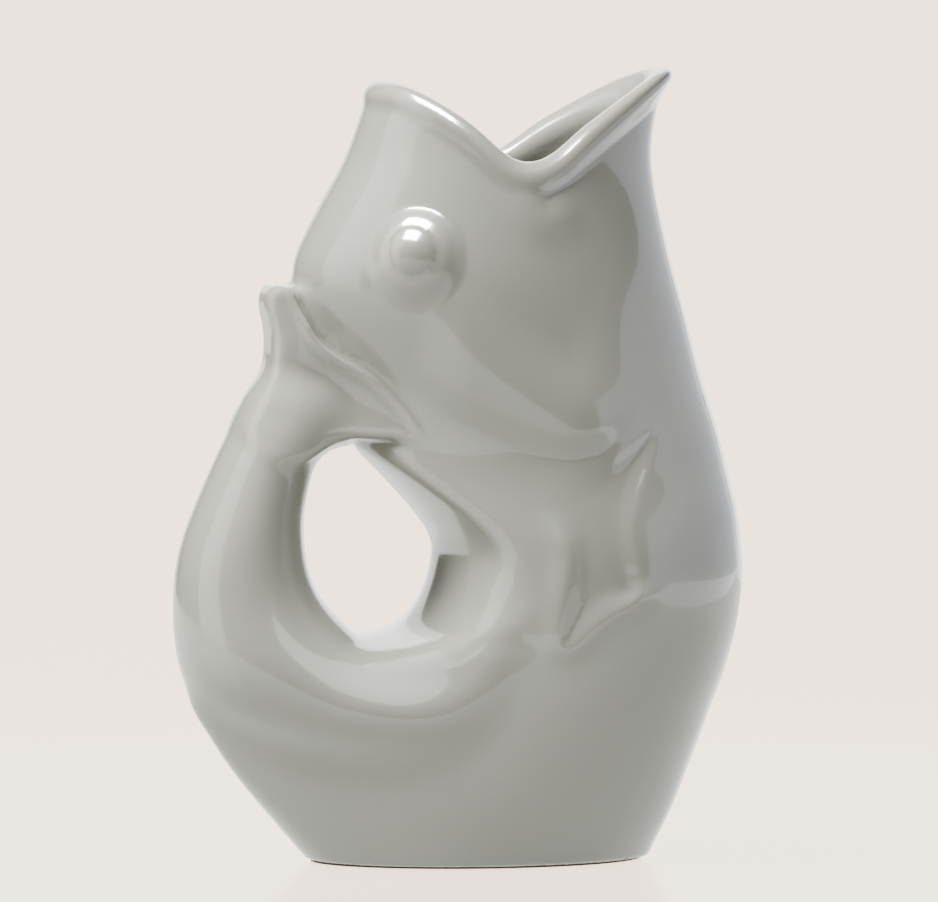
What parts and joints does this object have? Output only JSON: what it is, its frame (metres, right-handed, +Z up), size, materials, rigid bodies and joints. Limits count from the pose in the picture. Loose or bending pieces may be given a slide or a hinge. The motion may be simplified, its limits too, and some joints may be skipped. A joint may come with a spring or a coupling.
{
  "type": "gurgle jug",
  "caption": "Fish-shaped glazed ceramic jug with a gaping mouth for a spout and a hollow tail curled round a finger hole, which gurgles as it pours.",
  "frame": {"origin": "under the middle of the jug's length and width, on the plane that it stands on", "axes": "+Z up, +X from the tail handle towards the belly and the spout tip, +Y to the fish's right side when seen from behind the spout, and the jug is mirrored in the XZ plane"},
  "size_m": [0.1854, 0.115, 0.2537],
  "materials": {
    "grey_glaze": "gloss",
    "bare_clay": "matte"
  },
  "bodies": {
    "root": {"foot_ring": "bare_clay", "base_floor": "grey_glaze", "belly_wall": "grey_glaze", "head_wall": "grey_glaze", "back_lip": "grey_glaze", "spout_lip": "grey_glaze", "tail_handle": "grey_glaze", "tail_fin": "grey_glaze", "left_eye": "grey_glaze", "right_eye": "grey_glaze", "left_pupil": "grey_glaze", "right_pupil": "grey_glaze", "left_gill_cover": "grey_glaze", "right_gill_cover": "grey_glaze", "left_pectoral_fin": "grey_glaze", "right_pectoral_fin": "grey_glaze"}
  },
  "joints": []
}
